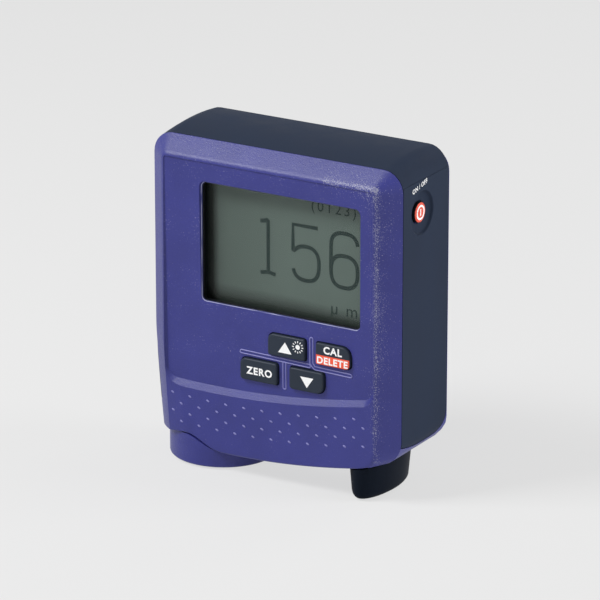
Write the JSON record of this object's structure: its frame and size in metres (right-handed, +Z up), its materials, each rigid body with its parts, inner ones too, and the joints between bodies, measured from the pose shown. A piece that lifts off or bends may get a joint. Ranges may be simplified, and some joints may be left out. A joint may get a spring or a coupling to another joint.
{
  "type": "coating thickness gauge",
  "caption": "Handheld coating thickness gauge with a display window, rubber-dome keys, a side power button and a built-in sprung probe in a cylinder, beside an oval support foot.",
  "frame": {"origin": "on the surface it stands on, at mid-width and mid-depth of the case", "axes": "+Z up, +X to the user's right, +Y to the back, away from the display"},
  "size_m": [0.082, 0.032, 0.0995],
  "materials": {
    "case_plastic": "purple-blue moulded ABS with a fine texture",
    "band_plastic": "dark slate moulded plastic",
    "key_plastic": "dark grey moulded keys",
    "button_plastic": "red button cap",
    "foot_plastic": "near-black moulded plastic",
    "window_plastic": "clear window",
    "display_cell": "grey-green display cell",
    "white_plastic": "white moulded plastic",
    "mat_rubber": "grey silicone",
    "circuit_board": "green board",
    "black_plastic": "black moulded plastic",
    "probe_steel": "polished hard steel",
    "plain_steel": "zinc-plated steel",
    "sleeve_brass": "turned brass",
    "coil_copper": "enamelled copper winding on a bobbin",
    "cell_can": "plain printed cell jacket"
  },
  "bodies": {
    "case": {"front_shell": "case_plastic", "rear_shell": "case_plastic", "side_band": "band_plastic", "support_foot": "foot_plastic", "lcd_window": "window_plastic", "lcd_cell": "display_cell", "lcd_holder": "white_plastic", "key_mat": "mat_rubber", "main_board": "circuit_board", "main_chip": "black_plastic", "buzzer": "black_plastic", "power_switch": "black_plastic", "probe_connector": "white_plastic", "probe_base": "black_plastic", "probe_cap": "black_plastic", "probe_sleeve": "sleeve_brass", "probe_coil": "coil_copper", "probe_spring": "plain_steel", "contact_low": "plain_steel", "contact_high": "plain_steel", "foot_screw": "plain_steel", "case_screw_1": "plain_steel", "cell_1": "cell_can", "case_screw_2": "plain_steel", "cell_2": "cell_can", "case_screw_3": "plain_steel", "cell_3": "cell_can", "case_screw_4": "plain_steel", "cell_4": "cell_can"},
    "key_up": {"key_up": "key_plastic"},
    "key_zero": {"key_zero": "key_plastic"},
    "key_cal": {"key_cal": "key_plastic"},
    "key_down": {"key_down": "key_plastic"},
    "power_button": {"power_button": "button_plastic"},
    "probe_plunger": {"probe_plunger": "probe_steel"},
    "battery_cover": {"battery_cover": "case_plastic"}
  },
  "joints": [
    {"name": "key_up_press", "type": "slide", "parent": "case", "child": "key_up", "axis": [0, 1, 0], "range_m": [0, 0.0008], "stiffness_N_per_m": 800, "springref_m": -0.0008},
    {"name": "key_zero_press", "type": "slide", "parent": "case", "child": "key_zero", "axis": [0, 1, 0], "range_m": [0, 0.0008], "stiffness_N_per_m": 800, "springref_m": -0.0008},
    {"name": "key_cal_press", "type": "slide", "parent": "case", "child": "key_cal", "axis": [0, 1, 0], "range_m": [0, 0.0008], "stiffness_N_per_m": 800, "springref_m": -0.0008},
    {"name": "key_down_press", "type": "slide", "parent": "case", "child": "key_down", "axis": [0, 1, 0], "range_m": [0, 0.0008], "stiffness_N_per_m": 800, "springref_m": -0.0008},
    {"name": "power_button_press", "type": "slide", "parent": "case", "child": "power_button", "axis": [-1, 0, 0], "range_m": [0, 0.0006], "stiffness_N_per_m": 900, "springref_m": -0.0006},
    {"name": "probe_slide", "type": "slide", "parent": "case", "child": "probe_plunger", "axis": [0, 0, 1], "range_m": [-0.0015, 0], "stiffness_N_per_m": 260, "springref_m": -0.0015, "deforming": ["probe_spring"]},
    {"name": "battery_cover_hinge", "type": "hinge", "parent": "case", "child": "battery_cover", "pos_m": [0, 0.0152, 0.0369], "axis": [-1, 0, 0], "range_deg": [0, 75]}
  ]
}
